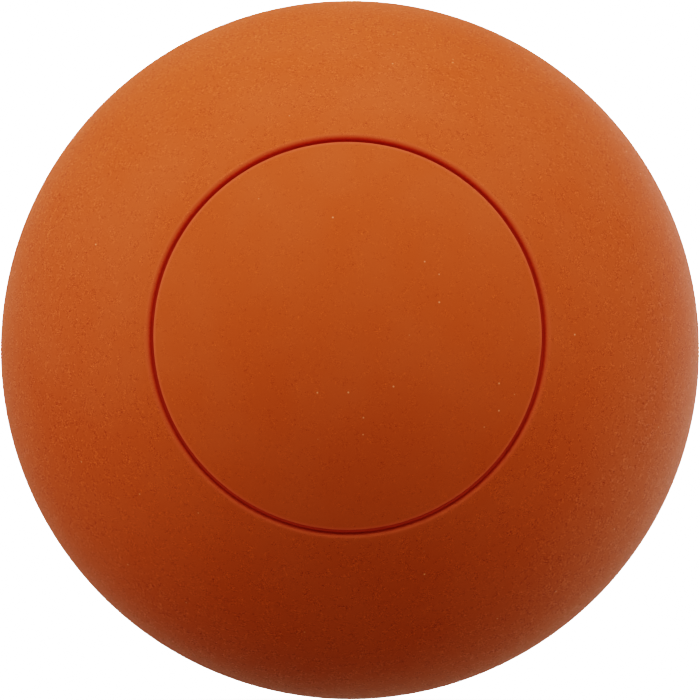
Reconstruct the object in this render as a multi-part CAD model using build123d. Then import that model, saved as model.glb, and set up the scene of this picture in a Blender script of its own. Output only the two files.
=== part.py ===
"""Lacrosse ball: a moulded rubber core inside two rubber cover halves that meet at the parting line.

Millimetres, with the origin at the ball's centre and +Z up. The mould opens along Y, so every piece is
round about the Y axis: the recessed ring faces -Y, and the parting line lies in the plane Y = 0.
"""

import os
from math import asin, cos, degrees, pi, radians, sin, tan

from build123d import *

# Driving dimensions
BALL_DIAMETER = 63.5
COVER_THICKNESS = 6.0
RING_DIAMETER = 33.48
RING_WIDTH = 0.45
RING_DEPTH = 0.75
RING_FLOOR_WIDTH = 0.20
RING_INNER_LIP_RADIUS = 0.10
RING_FLOOR_RADIUS = 0.05
RING_OUTER_LIP_RADIUS = 0.32
SEAM_EDGE_RADIUS = 0.15

# Largest share of a groove's floor or flank that the rounding at one end takes, so that a straight run stays
FLOOR_ROUND_SHARE = 0.4
FLANK_ROUND_SHARE = 0.75

# Sizes that follow from them
ball_radius = BALL_DIAMETER / 2
core_radius = ball_radius - COVER_THICKNESS
inner_lip_angle = asin(RING_DIAMETER / 2 / ball_radius)
outer_lip_angle = asin((RING_DIAMETER / 2 + RING_WIDTH) / ball_radius)
pole_angle = 0
seam_angle = pi / 2


def on_sphere(radius, angle):
    """Point of the section at this angle from the -Y pole; the section's X is the distance from the Y axis."""
    return Vector(radius * sin(angle), -radius * cos(angle))


def arc_on_sphere(radius, start, end):
    """Arc of the section about the ball's centre between two angles from the -Y pole."""
    return CenterArc((0, 0), radius, degrees(start - seam_angle), degrees(end - start))


def round_corners(face, points, radius):
    """The face with its corners nearest to these points rounded."""
    corners = [face.vertices().sort_by_distance(point)[0] for point in points]
    return fillet(corners, radius)


def cover_section():
    """Half section of a plain cover half, from the pole to the parting line, with its seam edge rounded."""
    seam_outer = on_sphere(ball_radius, seam_angle)
    seam_inner = on_sphere(core_radius, seam_angle)
    outline = [
        arc_on_sphere(ball_radius, pole_angle, seam_angle),
        Line(seam_outer, seam_inner),
        arc_on_sphere(core_radius, seam_angle, pole_angle),
        Line(on_sphere(core_radius, pole_angle), on_sphere(ball_radius, pole_angle)),
    ]
    return round_corners(make_face(outline), [seam_outer], SEAM_EDGE_RADIUS)


def largest_round(side, next_side, share):
    """Largest radius at the corner between two sides whose rounding takes this share of the first side."""
    turn = radians(side.get_angle(next_side))
    return side.length * share / tan(turn / 2)


def cut_ring(section):
    """The section with the ring's groove, its inner wall along Y, its floor square to that, its flank slanted."""
    inner_lip = on_sphere(ball_radius, inner_lip_angle)
    outer_lip = on_sphere(ball_radius, outer_lip_angle)
    inner_foot = inner_lip + Vector(0, RING_DEPTH)
    outer_foot = inner_foot + Vector(RING_FLOOR_WIDTH, 0)
    wall = inner_foot - inner_lip
    floor = outer_foot - inner_foot
    flank = outer_lip - outer_foot
    surface = Vector(-outer_lip.Y, outer_lip.X)
    floor_round = min(RING_FLOOR_RADIUS, largest_round(floor, wall, FLOOR_ROUND_SHARE))
    lip_round = min(RING_OUTER_LIP_RADIUS, largest_round(flank, surface, FLANK_ROUND_SHARE))
    groove = make_face(Polyline(inner_lip - wall, inner_foot, outer_foot, outer_lip + flank, close=True))
    cut = round_corners(section - groove, [inner_lip], RING_INNER_LIP_RADIUS)
    cut = round_corners(cut, [outer_lip], lip_round)
    return round_corners(cut, [inner_foot, outer_foot], floor_round)


def core():
    """Solid rubber ball that the two cover halves are moulded on."""
    return Rot(X=90) * Sphere(core_radius)


def front_cover():
    """Cover half on the -Y side, with the recessed ring."""
    return revolve(cut_ring(cover_section()), Axis.Y)


def rear_cover():
    """Plain cover half on the +Y side."""
    return mirror(revolve(cover_section(), Axis.Y), Plane.XZ)


PIECES = {
    "core": core,
    "front_cover": front_cover,
    "rear_cover": rear_cover,
}

os.makedirs("parts", exist_ok=True)
for node, make in PIECES.items():
    export_step(make(), f"parts/{node}.step")
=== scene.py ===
"""Lacrosse ball in matte orange rubber, on a plain pale floor under soft studio light.

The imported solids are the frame, in metres, with the ball's centre at the origin and the mould opening
along Y. Both halves of the cover are rebuilt here as fine surfaces of revolution about that axis, and the
core keeps its solid and gets a rubber of its own.
"""

from __future__ import annotations

import logging
import math
from dataclasses import dataclass, field
from enum import Enum

import bpy
import numpy as np
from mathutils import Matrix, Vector

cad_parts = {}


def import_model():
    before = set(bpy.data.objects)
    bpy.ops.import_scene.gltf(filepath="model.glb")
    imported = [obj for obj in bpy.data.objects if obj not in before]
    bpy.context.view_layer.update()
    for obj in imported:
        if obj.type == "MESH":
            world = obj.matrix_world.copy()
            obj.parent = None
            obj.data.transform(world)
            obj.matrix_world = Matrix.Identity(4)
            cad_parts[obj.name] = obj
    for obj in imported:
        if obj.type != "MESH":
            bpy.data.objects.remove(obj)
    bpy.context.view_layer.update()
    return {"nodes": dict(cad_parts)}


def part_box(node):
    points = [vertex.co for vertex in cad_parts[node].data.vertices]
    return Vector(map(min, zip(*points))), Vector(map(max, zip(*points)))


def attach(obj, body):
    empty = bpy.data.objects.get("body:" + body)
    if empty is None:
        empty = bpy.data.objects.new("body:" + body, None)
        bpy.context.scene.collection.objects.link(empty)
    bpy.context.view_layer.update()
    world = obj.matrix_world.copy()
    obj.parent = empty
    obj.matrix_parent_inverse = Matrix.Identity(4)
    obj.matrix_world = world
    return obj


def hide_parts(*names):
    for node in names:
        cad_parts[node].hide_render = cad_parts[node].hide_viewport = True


log = logging.getLogger("lacrosse_ball")

MM = 0.001
PER_MM = 1000.0
BODY = "root"
IMAGE_PX = 700

# Middle of a noise, and the stretch of its values that a ramp spreads out
NOISE_MIDDLE = 0.5
NOISE_LOW = 0.3
NOISE_HIGH = 0.7

Colour = tuple[float, float, float]
Factors = tuple[float, float, float]
Socket = bpy.types.NodeSocket
Sockets = bpy.types.bpy_prop_collection
Value = Socket | float | tuple[float, ...]

WHITE: Colour = (1.0, 1.0, 1.0)


class Side(Enum):
    """Which way a cover half faces along the mould's axis."""

    FRONT = -1
    REAR = 1


class Step(Enum):
    """What a Math node does with its values."""

    ADD = "ADD"
    MULTIPLY = "MULTIPLY"
    MULTIPLY_ADD = "MULTIPLY_ADD"
    DIVIDE = "DIVIDE"
    ABSOLUTE = "ABSOLUTE"
    GREATER = "GREATER_THAN"


def towards(azimuth: float, elevation: float) -> Vector:
    """Unit vector from the ball's centre.

    Formula: the sine and cosine of the azimuth, times the cosine of the elevation, give X and minus Y, and
    the sine of the elevation gives Z.

    Args:
        azimuth: Degrees about the upright axis, counted from the ring's side.
        elevation: Degrees above the level of the centre.

    Returns:
        The vector.
    """
    turn = math.radians(azimuth)
    rise = math.radians(elevation)
    return Vector((math.sin(turn) * math.cos(rise), -math.cos(turn) * math.cos(rise), math.sin(rise)))


def rounded_corners(path: np.ndarray, radii: np.ndarray, steps: int) -> np.ndarray:
    """Arcs that round the inner corners of an open path.

    Formula: at a corner the unit vectors to its two neighbours enclose an angle. The arc's centre lies on
    their bisector, at the radius over the sine of half that angle, and each end of the arc lies on a side, at
    the radius over the tangent of half that angle. The points between the ends turn evenly about the centre.

    Args:
        path: Points by 2; the first and the last only give directions.
        radii: One radius for each point between them.
        steps: Points on each arc, both ends included.

    Returns:
        Points by 2, one arc after the other.
    """
    corner = path[1:-1]
    back = path[:-2] - corner
    ahead = path[2:] - corner
    back = back / np.linalg.norm(back, axis=1, keepdims=True)
    ahead = ahead / np.linalg.norm(ahead, axis=1, keepdims=True)
    half = np.arccos(np.sum(back * ahead, axis=1, keepdims=True)) / 2
    bisector = (back + ahead) / np.linalg.norm(back + ahead, axis=1, keepdims=True)
    radius = radii[:, None]
    centre = corner + bisector * radius / np.sin(half)
    first = corner + back * radius / np.tan(half) - centre
    last = corner + ahead * radius / np.tan(half) - centre
    sweep = np.pi - 2 * half
    share = np.linspace(0, 1, steps)
    of_first = np.sin((1 - share) * sweep) / np.sin(sweep)
    of_last = np.sin(share * sweep) / np.sin(sweep)
    arcs = centre[:, None] + of_first[..., None] * first[:, None] + of_last[..., None] * last[:, None]
    return arcs.reshape(-1, 2)


@dataclass(frozen=True)
class RingGroove:
    """Thin ring pressed into the ball: an upright inner wall, a floor and a slanted outer flank."""

    diameter: float = 33.48 * MM
    width: float = 0.45 * MM
    depth: float = 0.75 * MM
    floor_width: float = 0.20 * MM
    inner_lip_radius: float = 0.10 * MM
    floor_radius: float = 0.05 * MM
    outer_lip_radius: float = 0.32 * MM
    # Pale lips, part wear and part painted highlight: their widths and shares
    wear_and_highlight_width: float = 0.24 * MM
    wear_and_highlight_share: float = 0.5
    outer_wear_and_highlight_width: float = 0.42 * MM
    outer_wear_and_highlight_share: float = 0.4
    face_grain: float = 0.40
    arc_steps: int = 7

    def section(self, ball_radius: float) -> np.ndarray:
        """Outline of the groove from its inner lip to its outer lip.

        Formula: the wall drops from the sphere parallel to the mould's axis, the floor runs square to it, and
        the flank runs straight from the floor to the sphere again; the four corners are rounded.

        Args:
            ball_radius: Radius of the sphere that the groove is sunk into, in metres.

        Returns:
            Points by 2: distance from the mould's axis, and height along it towards the pole.
        """
        inner = math.asin(self.diameter / 2 / ball_radius)
        outer = math.asin((self.diameter / 2 + self.width) / ball_radius)
        inner_lip = ball_radius * np.array([math.sin(inner), math.cos(inner)])
        outer_lip = ball_radius * np.array([math.sin(outer), math.cos(outer)])
        inner_foot = inner_lip - [0, self.depth]
        outer_foot = inner_foot + [self.floor_width, 0]
        before = inner_lip + self.depth * np.array([-math.cos(inner), math.sin(inner)])
        after = outer_lip + self.depth * np.array([math.cos(outer), -math.sin(outer)])
        path = np.stack([before, inner_lip, inner_foot, outer_foot, outer_lip, after])
        radii = np.array([self.inner_lip_radius, self.floor_radius, self.floor_radius, self.outer_lip_radius])
        return rounded_corners(path, radii, self.arc_steps)


@dataclass(frozen=True)
class CoverHalf:
    """Half of the rubber cover, a thick cup whose rim meets the other half at the parting line."""

    name: str
    node: str
    side: Side
    ball_radius: float
    core_radius: float
    groove: RingGroove | None = None
    seam_radius: float = 0.15 * MM
    turns: int = 448
    outer_pitch: float = 0.50 * MM
    inner_pitch: float = 1.50 * MM
    lip_rows: int = 7
    seam_steps: int = 9
    smooth_angle: float = 50.0
    calm_angle: float = 32.0
    calm_grain: float = 0.64
    rough_angle: float = 60.0
    rough_grain: float = 1.30

    def sphere(self, angles: np.ndarray, radius: float) -> np.ndarray:
        """Points of a circle about the ball's centre at these angles from the pole."""
        return radius * np.stack([np.sin(angles), np.cos(angles)], axis=1)

    def stretch(self, start: float, end: float, radius: float, pitch: float) -> np.ndarray:
        """Points of a circle at even angles between two angles from the pole, both ends left out."""
        count = max(2, round(abs(end - start) * radius / pitch))
        return self.sphere(np.linspace(start, end, count + 1)[1:-1], radius)

    def seam_edge(self) -> np.ndarray:
        """Rounded edge of the rim, from the outside to the flat that meets the other half.

        Returns:
            Points by 2: distance from the mould's axis, and height along it.
        """
        rim = np.array([self.ball_radius, 0.0])
        above = rim + [0, self.ball_radius]
        within = rim - [self.ball_radius, 0]
        path = np.stack([above, rim, within])
        return rounded_corners(path, np.array([self.seam_radius]), self.seam_steps)

    def outer_section(self) -> np.ndarray:
        """Outside of the cup, from next to the pole to the rim's flat.

        Formula: points of the sphere at even angles, with the groove's outline and the rim's rounded edge let
        in, and closer rows beside the groove's two lips, which carry their pale edges of wear and painted
        highlight.

        Returns:
            Points by 2: distance from the mould's axis, and height along it.
        """
        radius = self.ball_radius
        seam = self.seam_edge()
        seam_angle = math.atan2(seam[0, 0], seam[0, 1])
        if self.groove is None:
            return np.concatenate([self.stretch(0.0, seam_angle, radius, self.outer_pitch), seam])
        groove = self.groove.section(radius)
        first = math.atan2(groove[0, 0], groove[0, 1])
        last = math.atan2(groove[-1, 0], groove[-1, 1])
        start = first - self.groove.wear_and_highlight_width / radius
        end = last + self.groove.outer_wear_and_highlight_width / radius
        return np.concatenate([
            self.stretch(0.0, start, radius, self.outer_pitch),
            self.sphere(np.linspace(start, first, self.lip_rows, endpoint=False), radius),
            groove,
            self.sphere(np.linspace(end, last, self.lip_rows, endpoint=False)[::-1], radius),
            self.stretch(end, seam_angle, radius, self.outer_pitch),
            seam,
        ])

    def inner_section(self) -> np.ndarray:
        """Hollow of the cup, from the rim back to next to the pole."""
        rim = np.array([[self.core_radius, 0.0]])
        return np.concatenate([rim, self.stretch(math.pi / 2, 0.0, self.core_radius, self.inner_pitch)])

    def recess(self, section: np.ndarray) -> np.ndarray:
        """How far each point of the outside lies below the sphere; the cover's material paints shade in the
        groove with it.

        Formula: the ball's radius less the point's distance from the centre, over the groove's depth.

        Args:
            section: Points of the outside by 2.

        Returns:
            One share of the groove's depth for each point.
        """
        if self.groove is None:
            return np.zeros(len(section))
        depth = self.ball_radius - np.hypot(section[:, 0], section[:, 1])
        return np.clip(depth / self.groove.depth, 0, 1)

    def wear_and_highlight(self, section: np.ndarray) -> np.ndarray:
        """How much each point of the outside is painted pale, part wear and part painted highlight.

        Formula: each lip has its own share, which is full on the rounding of the inner lip and at the middle
        of the outer one, and falls evenly to nothing over that lip's width.

        Args:
            section: Points of the outside by 2.

        Returns:
            One share for each point.
        """
        if self.groove is None:
            return np.zeros(len(section))
        groove = self.groove.section(self.ball_radius)
        inner_lip = groove[0]
        outer_lip = groove[-1 - self.groove.arc_steps // 2]
        angles = np.arctan2(section[:, 0], section[:, 1])
        inside = (math.atan2(inner_lip[0], inner_lip[1]) - angles) * self.ball_radius
        outside = (angles - math.atan2(outer_lip[0], outer_lip[1])) * self.ball_radius
        inner = 1 - np.clip(inside / self.groove.wear_and_highlight_width, 0, 1)
        outer = 1 - np.clip(np.abs(outside) / self.groove.outer_wear_and_highlight_width, 0, 1)
        on_inner = inside > -self.groove.inner_lip_radius
        lips = np.where(on_inner, inner * self.groove.wear_and_highlight_share, outer * self.groove.outer_wear_and_highlight_share)
        return np.where(section[:, 1] > 0, lips, 0)

    def grain(self, section: np.ndarray) -> np.ndarray:
        """How strong the rubber's grain is at each point of the outside.

        Formula: the strength grows evenly from the calm angle to the rough angle, both counted from the pole,
        and is less on the face inside the ring, which a smoother insert of the mould presses.

        Args:
            section: Points of the outside by 2.

        Returns:
            One strength for each point.
        """
        angles = np.arctan2(section[:, 0], section[:, 1])
        reach = np.radians([self.calm_angle, self.rough_angle])
        strength = np.interp(angles, reach, [self.calm_grain, self.rough_grain])
        if self.groove is None:
            return strength
        on_face = section[:, 0] < self.groove.diameter / 2
        return np.where(on_face & (section[:, 1] > 0), self.groove.face_grain, strength)

    def build(self) -> bpy.types.Object:
        """Makes the cup as one closed surface.

        Formula: each point of the section is turned about the mould's axis; its distance from the axis times
        the cosine and sine of the turn gives X and Z, and its height gives Y, towards the cup's own side. One
        point closes each pole.

        Returns:
            The new object, riding on the body and standing for the solid.
        """
        outer = self.outer_section()
        inner = self.inner_section()
        section = np.concatenate([outer, inner])
        rows = len(section)
        turn = np.linspace(0, 2 * np.pi, self.turns, endpoint=False)
        grid = np.stack([
            section[:, :1] * np.cos(turn),
            np.repeat(section[:, 1:] * self.side.value, self.turns, axis=1),
            section[:, :1] * np.sin(turn),
        ], axis=2).reshape(-1, 3)
        poles = np.array([
            (0, self.side.value * self.ball_radius, 0),
            (0, self.side.value * self.core_radius, 0),
        ])
        mesh = bpy.data.meshes.new(self.name)
        mesh.from_pydata(np.concatenate([grid, poles]), [], self.faces(rows))
        mesh.polygons.foreach_set("use_smooth", np.ones(len(mesh.polygons), bool))
        mesh.set_sharp_from_angle(angle=math.radians(self.smooth_angle))
        hidden = np.zeros(len(inner))
        self.add_mask(mesh, "grain", np.concatenate([self.grain(outer), hidden]))
        # The recess mask sets how much painted shade darkens the groove.
        self.add_mask(mesh, "recess", np.concatenate([self.recess(outer), hidden]))
        # The pale lips, part wear and part painted highlight.
        self.add_mask(mesh, "wear_and_highlight", np.concatenate([self.wear_and_highlight(outer), hidden]))
        piece = bpy.data.objects.new(self.name, mesh)
        bpy.context.scene.collection.objects.link(piece)
        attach(piece, BODY)
        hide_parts(self.node)
        return piece

    def faces(self, rows: int) -> list[list[int]]:
        """Corners of every face, outwards: four-sided between the rows, and fans at the two poles.

        Args:
            rows: Number of rows of points, each with as many points as there are turns.

        Returns:
            A list of corner numbers for each face.
        """
        here = np.arange(self.turns)
        after = (here + 1) % self.turns
        start = np.arange(rows - 1)[:, None] * self.turns
        next_start = start + self.turns
        quads = np.stack([start + here, start + after, next_start + after, next_start + here], axis=2)
        last = (rows - 1) * self.turns
        outer_pole = np.full_like(here, rows * self.turns)
        inner_pole = outer_pole + 1
        fans = np.concatenate([
            np.stack([outer_pole, after, here], axis=1),
            np.stack([inner_pole, last + here, last + after], axis=1),
        ])
        quads = quads.reshape(-1, 4)
        if self.side is Side.REAR:
            quads = quads[:, ::-1]
            fans = fans[:, ::-1]
        return quads.tolist() + fans.tolist()

    def add_mask(self, mesh: bpy.types.Mesh, name: str, shares: np.ndarray) -> None:
        """Stores one share for each row of points, the same all the way round.

        Args:
            mesh: The cup's mesh.
            name: Name of the attribute.
            shares: One share for each row; the poles take the first row's and the last row's.
        """
        values = np.append(np.repeat(shares, self.turns), shares[[0, -1]])
        mask = mesh.attributes.new(name, "FLOAT", "POINT")
        mask.data.foreach_set("value", values.astype(np.float32))

    def dress(self, piece: bpy.types.Object, rubber: bpy.types.Material) -> None:
        """Gives the cup its rubber."""
        piece.data.materials.append(rubber)


@dataclass(frozen=True)
class CoreBall:
    """Solid rubber core, which keeps its solid from the frame."""

    node: str = "core"

    def dress(self, piece: bpy.types.Object, rubber: bpy.types.Material) -> None:
        """Gives the core its own rubber."""
        piece.data.materials.clear()
        piece.data.materials.append(rubber)


class NodeGraph:
    """Adds nodes to one shader tree and links them."""

    def __init__(self, tree: bpy.types.NodeTree) -> None:
        """Keeps the tree that the nodes go into."""
        self.tree = tree

    def add(
        self,
        kind: str,
        inputs: dict[str | int, Value] | None = None,
        **settings: object,
    ) -> bpy.types.Node:
        """Adds a node.

        Args:
            kind: Blender's name for the type of node.
            inputs: A socket to link or a value to set, for each input by its name or number.
            settings: Options of the node.

        Returns:
            The new node.
        """
        node = self.tree.nodes.new(kind)
        for name, setting in settings.items():
            setattr(node, name, setting)
        for key, value in (inputs or {}).items():
            self.feed(node.inputs[key], value)
        return node

    def feed(self, target: Socket, value: Value) -> None:
        """Links a socket to an input, or sets the input to a value.

        Args:
            target: The input.
            value: The socket or the value; a colour is made opaque.
        """
        if isinstance(value, bpy.types.NodeSocket):
            self.tree.links.new(value, target)
        elif target.type == "RGBA":
            target.default_value = (*value, 1.0)
        else:
            target.default_value = value

    def maths(self, step: Step, *values: Value) -> Socket:
        """Result of a Math node."""
        return self.add("ShaderNodeMath", dict(enumerate(values)), operation=step.value).outputs[0]

    def ramp(self, value: Value, low: Value, high: Value, start: float = 0.0, end: float = 1.0) -> Socket:
        """Smooth step from start, where the value is low, to end, where it is high."""
        inputs = {"Value": value, "From Min": low, "From Max": high, "To Min": start, "To Max": end}
        return self.add("ShaderNodeMapRange", inputs, interpolation_type="SMOOTHSTEP").outputs[0]

    def noise(self, vector: Value, scale: Value, detail: float) -> Socket:
        """Smooth noise between nought and one."""
        return self.add("ShaderNodeTexNoise", {"Vector": vector, "Scale": scale, "Detail": detail}).outputs[0]

    def blend(self, share: Value, first: Value, second: Value) -> Socket:
        """Colour between two colours.

        Args:
            share: How much of the second colour shows, from nought to one.
            first: Colour where the share is nought.
            second: Colour where the share is one.

        Returns:
            The blended colour.
        """
        node = self.add("ShaderNodeMix", {0: share}, data_type="RGBA")
        colours = [socket for socket in node.inputs if socket.type == "RGBA"]
        self.feed(colours[0], first)
        self.feed(colours[1], second)
        return [socket for socket in node.outputs if socket.type == "RGBA"][0]


@dataclass(frozen=True)
class RubberGrain:
    """Effect that every rubber here shares: moulded grain, slow mottle, dust specks and coarse unevenness."""

    name: str = "rubber_grain"
    inputs: tuple[str, ...] = (
        "Grain Size", "Patch Size", "Mottle Size", "Speck Spacing", "Speck Size", "Speck Share",
    )
    outputs: tuple[str, ...] = ("Grain", "Mottle", "Specks", "Unevenness")
    coarse: float = 3.0
    coarse_share: float = 0.28
    body: float = 0.66
    tail: float = 60.0
    calm_patch: float = 0.20
    rough_patch: float = 1.85
    grain_detail: float = 2.0
    mottle_detail: float = 3.0
    speck_core: float = 0.35

    def build(self) -> bpy.types.NodeTree:
        """Makes the node group; its vector and sizes are in millimetres.

        Formula: the grain is a fine noise mixed with a coarser one. Its distance from the middle is
        multiplied by a gain that grows with the square of that distance, so that most of it is calm and a few
        dots stand out, and by a strength that a slower noise moves from patch to patch. The unevenness is the
        coarser noise, and the mottle a much slower one. A speck lies where the nearest of a set of scattered
        points is closer than the speck's size, and only where that point's own random number falls in the
        share.

        Returns:
            The group; its masks run from about nought to one.
        """
        tree = bpy.data.node_groups.new(self.name, "ShaderNodeTree")
        tree.interface.new_socket("Vector", in_out="INPUT", socket_type="NodeSocketVector")
        for name in self.inputs:
            tree.interface.new_socket(name, in_out="INPUT", socket_type="NodeSocketFloat")
        for name in self.outputs:
            tree.interface.new_socket(name, in_out="OUTPUT", socket_type="NodeSocketFloat")
        graph = NodeGraph(tree)
        given = graph.add("NodeGroupInput").outputs
        fine_scale = graph.maths(Step.DIVIDE, 1.0, given["Grain Size"])
        coarse_scale = graph.maths(Step.DIVIDE, fine_scale, self.coarse)
        mottle_scale = graph.maths(Step.DIVIDE, 1.0, given["Mottle Size"])
        fine = graph.noise(given["Vector"], fine_scale, self.grain_detail)
        coarse = graph.noise(given["Vector"], coarse_scale, self.grain_detail)
        mixed = graph.add("ShaderNodeMix", {0: self.coarse_share, "A": fine, "B": coarse}).outputs[0]
        swing = graph.maths(Step.ADD, mixed, -NOISE_MIDDLE)
        square = graph.maths(Step.MULTIPLY, swing, swing)
        gain = graph.maths(Step.MULTIPLY_ADD, square, self.tail, self.body)
        gained = graph.maths(Step.MULTIPLY, swing, gain)
        patch_scale = graph.maths(Step.DIVIDE, 1.0, given["Patch Size"])
        patches = graph.noise(given["Vector"], patch_scale, 0.0)
        strength = graph.ramp(patches, NOISE_LOW, NOISE_HIGH, self.calm_patch, self.rough_patch)
        grain = graph.maths(Step.MULTIPLY_ADD, gained, strength, NOISE_MIDDLE)
        spots = graph.add("ShaderNodeTexVoronoi", {
            "Vector": given["Vector"],
            "Scale": graph.maths(Step.DIVIDE, 1.0, given["Speck Spacing"]),
        })
        near = graph.maths(Step.MULTIPLY, spots.outputs["Distance"], given["Speck Spacing"])
        heart = graph.maths(Step.MULTIPLY, given["Speck Size"], self.speck_core)
        speck = graph.ramp(near, given["Speck Size"], heart)
        draw = graph.add("ShaderNodeSeparateColor", {0: spots.outputs["Color"]}).outputs[0]
        chosen = graph.maths(Step.GREATER, given["Speck Share"], draw)
        graph.add("NodeGroupOutput", {
            "Grain": grain,
            "Mottle": graph.noise(given["Vector"], mottle_scale, self.mottle_detail),
            "Specks": graph.maths(Step.MULTIPLY, speck, chosen),
            "Unevenness": coarse,
        })
        return tree


@dataclass(frozen=True)
class Rubber:
    """Matte moulded rubber; sizes of its pattern are in millimetres."""

    name: str = "rubber"
    hollow: Colour = (0.26, 0.012, 0.000)
    crest: Colour = (0.98, 0.143, 0.011)
    bloom: Colour = (0.70, 0.120, 0.030)
    bloom_share: float = 0.20
    speck: Colour = (0.98, 0.34, 0.15)
    roughness: float = 0.75
    roughness_swing: float = 0.50
    gloss: float = 0.20
    grain_size: float = 0.09
    grain_height: float = 0.010
    patch_size: float = 0.75
    mottle_size: float = 7.0
    speck_spacing: float = 1.3
    speck_size: float = 0.11
    speck_share: float = 0.12

    def build(self, grain: bpy.types.NodeTree) -> bpy.types.Material:
        """Makes the material.

        Args:
            grain: The shared node group of the rubber's grain.

        Returns:
            The new material.
        """
        material = bpy.data.materials.new(self.name)
        material.use_nodes = True
        graph = NodeGraph(material.node_tree)
        place = graph.add("ShaderNodeTexCoord").outputs["Object"]
        vector = graph.add("ShaderNodeVectorMath", {0: place, "Scale": PER_MM}, operation="SCALE").outputs[0]
        effect = graph.add("ShaderNodeGroup", node_tree=grain)
        sizes = (self.grain_size, self.patch_size, self.mottle_size)
        specks = (self.speck_spacing, self.speck_size, self.speck_share)
        for socket, value in zip(effect.inputs, (vector, *sizes, *specks)):
            graph.feed(socket, value)
        masks = effect.outputs
        relief = self.relief(graph, masks["Grain"])
        grained = graph.blend(relief, self.hollow, self.crest)
        blooming = graph.ramp(masks["Mottle"], NOISE_LOW, NOISE_HIGH, 0.0, self.bloom_share)
        bloomed = graph.blend(blooming, grained, self.bloom)
        colour = graph.blend(masks["Specks"], bloomed, self.speck)
        low = self.roughness - self.roughness_swing / 2
        high = self.roughness + self.roughness_swing / 2
        roughness = graph.ramp(relief, 0.0, 1.0, high, low)
        bump = graph.add("ShaderNodeBump", {"Height": relief, "Distance": self.grain_height * MM})
        shader = material.node_tree.nodes["Principled BSDF"]
        graph.feed(shader.inputs["Base Color"], self.marked(graph, vector, masks, colour))
        graph.feed(shader.inputs["Roughness"], roughness)
        graph.feed(shader.inputs["Normal"], bump.outputs[0])
        graph.feed(shader.inputs["Specular IOR Level"], self.gloss)
        return material

    def relief(self, graph: NodeGraph, grain: Socket) -> Socket:
        """Grain as strong as it is here; on plain rubber it is the same everywhere."""
        return grain

    def marked(self, graph: NodeGraph, vector: Socket, masks: Sockets, colour: Socket) -> Socket:
        """Colour with the marks that this rubber alone has; plain rubber has none."""
        return colour


@dataclass(frozen=True)
class CoverRubber(Rubber):
    """Orange rubber of the cover, with painted shade in the groove, pale lips of wear and painted highlight,
    and buffed along the parting line.
    """

    name: str = "cover_rubber_matte"
    # Painted shade: a darker red blended into the groove by its depth, for the shade that falls there.
    groove_shade: Colour = (0.49, 0.027, 0.001)
    # Colour of the pale lips, part wear and part painted highlight.
    pale: Colour = (0.92, 0.122, 0.044)
    groove_shade_start: float = 0.0
    groove_shade_end: float = 0.52
    groove_shade_grain: float = 1.2
    buffed: Colour = (0.70, 0.128, 0.034)
    buffed_width: float = 1.3
    buffed_edge: float = 0.6
    buffed_share: float = 0.8
    streak: Factors = (1.4, 14.0, 1.4)
    streak_scale: float = 0.35
    streak_detail: float = 3.0

    def relief(self, graph: NodeGraph, grain: Socket) -> Socket:
        """Grain as strong as the cover's own mask says.

        Formula: the grain's distance from its middle, times the mask.

        Args:
            graph: The material's nodes.
            grain: The even grain, from about nought to one.

        Returns:
            The grain with its strength.
        """
        strength = graph.add("ShaderNodeAttribute", attribute_name="grain").outputs["Fac"]
        swing = graph.maths(Step.ADD, grain, -NOISE_MIDDLE)
        return graph.maths(Step.MULTIPLY_ADD, swing, strength, NOISE_MIDDLE)

    def marked(self, graph: NodeGraph, vector: Socket, masks: Sockets, colour: Socket) -> Socket:
        """Colour with the groove's painted shade, the lips' wear and painted highlight, and the parting
        line's buffing.

        Args:
            graph: The material's nodes.
            vector: Place on the ball in millimetres.
            masks: The grain's outputs.
            colour: Colour of the plain rubber.

        Returns:
            The marked colour.
        """
        # Pale lips, part wear and part painted highlight, then painted shade in the groove.
        wear_and_highlight = graph.add("ShaderNodeAttribute", attribute_name="wear_and_highlight").outputs["Fac"]
        recess = graph.add("ShaderNodeAttribute", attribute_name="recess").outputs["Fac"]
        worn_and_highlighted = graph.blend(wear_and_highlight, colour, self.pale)
        swing = graph.maths(Step.ADD, masks["Unevenness"], -NOISE_MIDDLE)
        uneven = graph.maths(Step.MULTIPLY_ADD, swing, self.groove_shade_grain, 1.0)
        # Painted shade: the groove darkens with depth, a little unevenly.
        depth = graph.maths(Step.MULTIPLY, recess, uneven)
        groove_shaded = graph.blend(graph.ramp(depth, self.groove_shade_start, self.groove_shade_end), worn_and_highlighted, self.groove_shade)
        return graph.blend(self.buffing(graph, vector), groove_shaded, self.buffed)

    def buffing(self, graph: NodeGraph, vector: Socket) -> Socket:
        """Mask of the band where the flash was ground off.

        Formula: a band about the parting line whose edge wanders with a slow noise, times streaks that are
        fine across the band and long along it.

        Args:
            graph: The material's nodes.
            vector: Place on the ball in millimetres.

        Returns:
            The mask, between nought and the buffed share.
        """
        across = graph.add("ShaderNodeSeparateXYZ", {0: vector}).outputs["Y"]
        away = graph.maths(Step.ABSOLUTE, across)
        slow = graph.noise(vector, self.streak_scale, 0.0)
        wander = graph.maths(Step.MULTIPLY_ADD, slow, self.buffed_edge, away)
        band = graph.ramp(wander, self.buffed_width, self.buffed_edge)
        drawn = graph.add("ShaderNodeVectorMath", {0: vector, 1: self.streak}, operation="MULTIPLY")
        fine = graph.noise(drawn.outputs[0], self.streak_scale, self.streak_detail)
        streaks = graph.ramp(fine, NOISE_LOW, NOISE_HIGH)
        return graph.maths(Step.MULTIPLY, graph.maths(Step.MULTIPLY, band, streaks), self.buffed_share)


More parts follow.
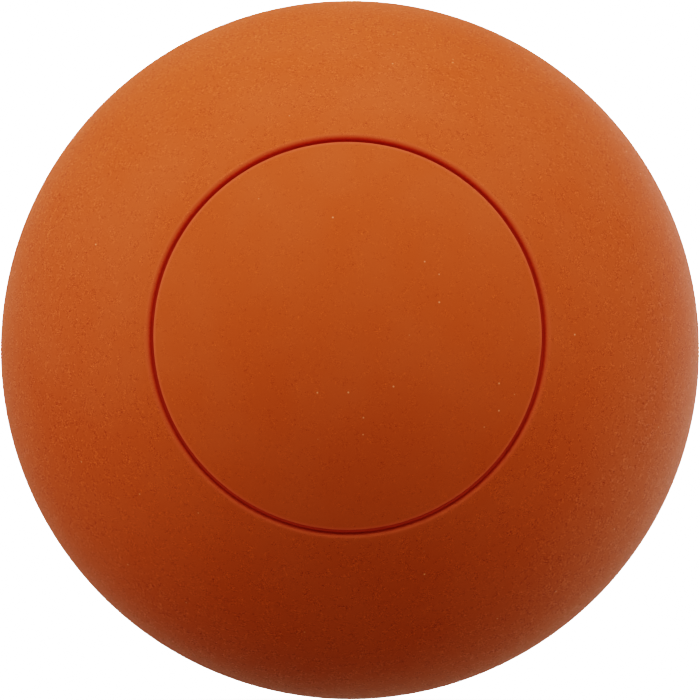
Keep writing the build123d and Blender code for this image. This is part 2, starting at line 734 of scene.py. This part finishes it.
@dataclass(frozen=True)
class CoreRubber(Rubber):
    """Dark filled rubber of the core, coarser than the cover's."""

    name: str = "core_rubber_matte"
    hollow: Colour = (0.060, 0.030, 0.022)
    crest: Colour = (0.140, 0.080, 0.058)
    bloom: Colour = (0.130, 0.085, 0.066)
    bloom_share: float = 0.40
    speck: Colour = (0.30, 0.22, 0.18)
    roughness: float = 0.78
    grain_size: float = 0.40
    grain_height: float = 0.03
    mottle_size: float = 4.0
    speck_size: float = 0.18


class Tint(Enum):
    """Slight colour of a soft light."""

    NEUTRAL = WHITE
    WARM = (1.0, 0.9, 0.85)
    COOL = (0.85, 0.9, 1.0)
    CREAM = (1.0, 1.0, 0.75)


@dataclass(frozen=True)
class Softbox:
    """Square soft light that faces the ball."""

    name: str
    azimuth: float
    elevation: float
    side: float
    radiance: float
    tint: Tint = Tint.NEUTRAL
    distance: float = 0.7

    def build(self) -> bpy.types.Object:
        """Makes the light.

        Formula: its power is its radiance times pi times its area.

        Returns:
            The new light, which the camera doesn't see.
        """
        data = bpy.data.lights.new(self.name, "AREA")
        data.shape = "SQUARE"
        data.size = self.side
        data.energy = self.radiance * math.pi * self.side ** 2
        data.color = self.tint.value
        lamp = bpy.data.objects.new(self.name, data)
        out = towards(self.azimuth, self.elevation)
        lamp.location = out * self.distance
        lamp.rotation_euler = out.to_track_quat("Z", "Y").to_euler()
        lamp.visible_camera = False
        bpy.context.scene.collection.objects.link(lamp)
        return lamp


@dataclass(frozen=True)
class Surround:
    """White room that the camera sees bright and that lights the ball only a little."""

    seen: float = 20.0
    fill: float = 0.01

    def build(self) -> bpy.types.World:
        """Makes the world: one strength for what the camera sees, another for what lights the ball.

        Returns:
            The new world.
        """
        world = bpy.data.worlds.new("surround")
        world.use_nodes = True
        world.node_tree.nodes.clear()
        graph = NodeGraph(world.node_tree)
        fill = graph.add("ShaderNodeBackground", {"Color": WHITE, "Strength": self.fill}, name="fill")
        seen = graph.add("ShaderNodeBackground", {"Color": WHITE, "Strength": self.seen})
        camera_ray = graph.add("ShaderNodeLightPath").outputs["Is Camera Ray"]
        both = graph.add("ShaderNodeMixShader", {0: camera_ray, 1: fill.outputs[0], 2: seen.outputs[0]})
        graph.add("ShaderNodeOutputWorld", {"Surface": both.outputs[0]})
        bpy.context.scene.world = world
        return world


@dataclass(frozen=True)
class PaleFloor:
    """Plain pale floor that brightens to white away from the ball, so that it meets the room without a line.
    Its glow is dim near the ball and bright far off, so the shade round the ball is part real shadow, part
    painted shade.

    It is clear from below, so that it hides nothing of the ball in a low view. It lies a hair under the ball,
    so that its shade stays below the photograph's frame.
    """

    height: float
    reach: float = 6.0
    rows: int = 24
    turns: int = 96
    tone: float = 0.80
    roughness: float = 0.9
    near: float = 4 * MM
    far: float = 50 * MM
    # Dim glow near the ball: painted shade round it
    near_glow: float = 0.30
    far_glow: float = 20.0

    def build(self) -> bpy.types.Object:
        """Makes the floor as a flat disc under the ball.

        Formula: rings of points whose radius grows as the square of the row's number, up to the reach.

        Returns:
            The new object; it casts no light or shade on the ball.
        """
        radius = self.reach * (np.arange(1, self.rows + 1) / self.rows) ** 2
        turn = np.linspace(0, 2 * np.pi, self.turns, endpoint=False)
        grid = np.stack([
            radius[:, None] * np.cos(turn),
            radius[:, None] * np.sin(turn),
            np.full((self.rows, self.turns), self.height),
        ], axis=2).reshape(-1, 3)
        here = np.arange(self.turns)
        after = (here + 1) % self.turns
        start = np.arange(self.rows - 1)[:, None] * self.turns
        next_start = start + self.turns
        quads = np.stack([start + here, next_start + here, next_start + after, start + after], axis=2)
        middle = np.full_like(here, self.rows * self.turns)
        fan = np.stack([middle, here, after], axis=1)
        mesh = bpy.data.meshes.new("pale_floor")
        points = np.concatenate([grid, [(0, 0, self.height)]])
        mesh.from_pydata(points, [], quads.reshape(-1, 4).tolist() + fan.tolist())
        floor = bpy.data.objects.new("pale_floor", mesh)
        bpy.context.scene.collection.objects.link(floor)
        floor.visible_diffuse = False
        floor.visible_glossy = False
        floor.visible_shadow = False
        return floor

    def dress(self, floor: bpy.types.Object) -> None:
        """Gives the floor its pale finish and its glow, which is dim under the ball as painted shade.

        Formula: the glow is a smooth step of the level distance from under the ball, from near to far.

        Args:
            floor: The floor's object.
        """
        material = bpy.data.materials.new("pale_floor_matte")
        material.use_nodes = True
        graph = NodeGraph(material.node_tree)
        place = graph.add("ShaderNodeTexCoord").outputs["Object"]
        flat: Factors = (1.0, 1.0, 0.0)
        level = graph.add("ShaderNodeVectorMath", {0: place, 1: flat}, operation="MULTIPLY").outputs[0]
        away = graph.add("ShaderNodeVectorMath", {0: level}, operation="LENGTH").outputs["Value"]
        shader = material.node_tree.nodes["Principled BSDF"]
        graph.feed(shader.inputs["Base Color"], (self.tone, self.tone, self.tone))
        graph.feed(shader.inputs["Roughness"], self.roughness)
        graph.feed(shader.inputs["Specular IOR Level"], 0.0)
        graph.feed(shader.inputs["Emission Strength"], self.far_glow)
        # The glow rises with distance from the ball; its dim middle is painted shade under the ball.
        glow = graph.ramp(away, self.near, self.far, self.near_glow / self.far_glow, 1.0)
        graph.feed(shader.inputs["Emission Color"], glow)
        below = graph.add("ShaderNodeNewGeometry").outputs["Backfacing"]
        graph.feed(shader.inputs["Alpha"], graph.ramp(below, 0.0, 1.0, 1.0, 0.0))
        floor.data.materials.append(material)


@dataclass(frozen=True)
class PhotoCamera:
    """Camera that sees the ball as the photograph does, filling the frame."""

    azimuth: float = 0.45
    elevation: float = -2.62
    distance: float = 507.0 * MM
    silhouette_px: float = 349.5
    sensor: float = 36.0
    clip_near: float = 0.1
    clip_far: float = 100.0

    def build(self, ball_radius: float) -> bpy.types.Object:
        """Makes the camera and gives it to the scene.

        Formula: the lens is the sensor's width times the silhouette's share of the image's width, over the
        tangent of the angle under which the camera sees the ball's radius.

        Args:
            ball_radius: Radius of the ball in metres.

        Returns:
            The camera.
        """
        data = bpy.data.cameras.new("photo_camera")
        tangent = ball_radius / math.sqrt(self.distance ** 2 - ball_radius ** 2)
        data.sensor_width = self.sensor
        data.lens = self.sensor * self.silhouette_px / IMAGE_PX / tangent
        data.clip_start = self.distance * self.clip_near
        data.clip_end = self.distance * self.clip_far
        camera = bpy.data.objects.new("photo_camera", data)
        back = towards(self.azimuth, self.elevation)
        camera.location = back * self.distance
        camera.rotation_euler = back.to_track_quat("Z", "Y").to_euler()
        bpy.context.scene.collection.objects.link(camera)
        bpy.context.scene.camera = camera
        return camera


# Name, azimuth and elevation in degrees, side in metres, radiance, tint
SOFTBOXES = (
    Softbox("key_left", -75, 35, 0.5, 3.25),
    Softbox("key_right", 75, 35, 0.5, 3.0),
    Softbox("top_box", 0, 88, 0.6, 2.0, Tint.COOL),
    Softbox("top_front", 0, 60, 0.5, 2.75),
    Softbox("front_low", 0, -20, 0.5, 2.0, Tint.CREAM),
    Softbox("side_left", -95, 5, 0.5, 2.0, Tint.WARM),
    Softbox("rim_right", 125, -15, 0.4, 2.75, Tint.CREAM),
    Softbox("back_left", -150, 8, 0.4, 0.5, Tint.CREAM),
    Softbox("back_right", 150, 8, 0.4, 2.0),
    Softbox("backdrop", 180, 0, 1.1, 1.25, Tint.CREAM),
)


@dataclass(frozen=True)
class Studio:
    """Lights, room, floor and camera round the ball."""

    ball_radius: float
    softboxes: tuple[Softbox, ...] = SOFTBOXES
    surround: Surround = field(default_factory=Surround)
    camera: PhotoCamera = field(default_factory=PhotoCamera)
    floor_gap: float = 0.4 * MM
    view_transform: str = "Filmic"
    look: str = "Medium High Contrast"

    def build(self) -> None:
        """Sets up everything that isn't part of the ball."""
        for softbox in self.softboxes:
            softbox.build()
        self.surround.build()
        floor = PaleFloor(-self.ball_radius - self.floor_gap)
        floor.dress(floor.build())
        self.camera.build(self.ball_radius)
        settings = bpy.context.scene.view_settings
        settings.view_transform = self.view_transform
        settings.look = self.look


def main() -> None:
    """Builds the ball, its finishes and the studio."""
    logging.basicConfig(level=logging.INFO, format="%(name)s: %(message)s")
    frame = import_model()
    ball_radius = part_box("rear_cover")[1].y
    core_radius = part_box("core")[1].y
    grain = RubberGrain().build()
    cover_rubber = CoverRubber().build(grain)
    halves = (
        CoverHalf("front_cover_skin", "front_cover", Side.FRONT, ball_radius, core_radius, RingGroove()),
        CoverHalf("rear_cover_skin", "rear_cover", Side.REAR, ball_radius, core_radius),
    )
    for half in halves:
        piece = half.build()
        half.dress(piece, cover_rubber)
        log.info("%s: %d faces in %s", piece.name, len(piece.data.polygons), cover_rubber.name)
    core = CoreBall()
    core_rubber = CoreRubber().build(grain)
    core.dress(frame["nodes"][core.node], core_rubber)
    log.info("%s: its own solid in %s", core.node, core_rubber.name)
    Studio(ball_radius).build()


if __name__ == "__main__":
    main()
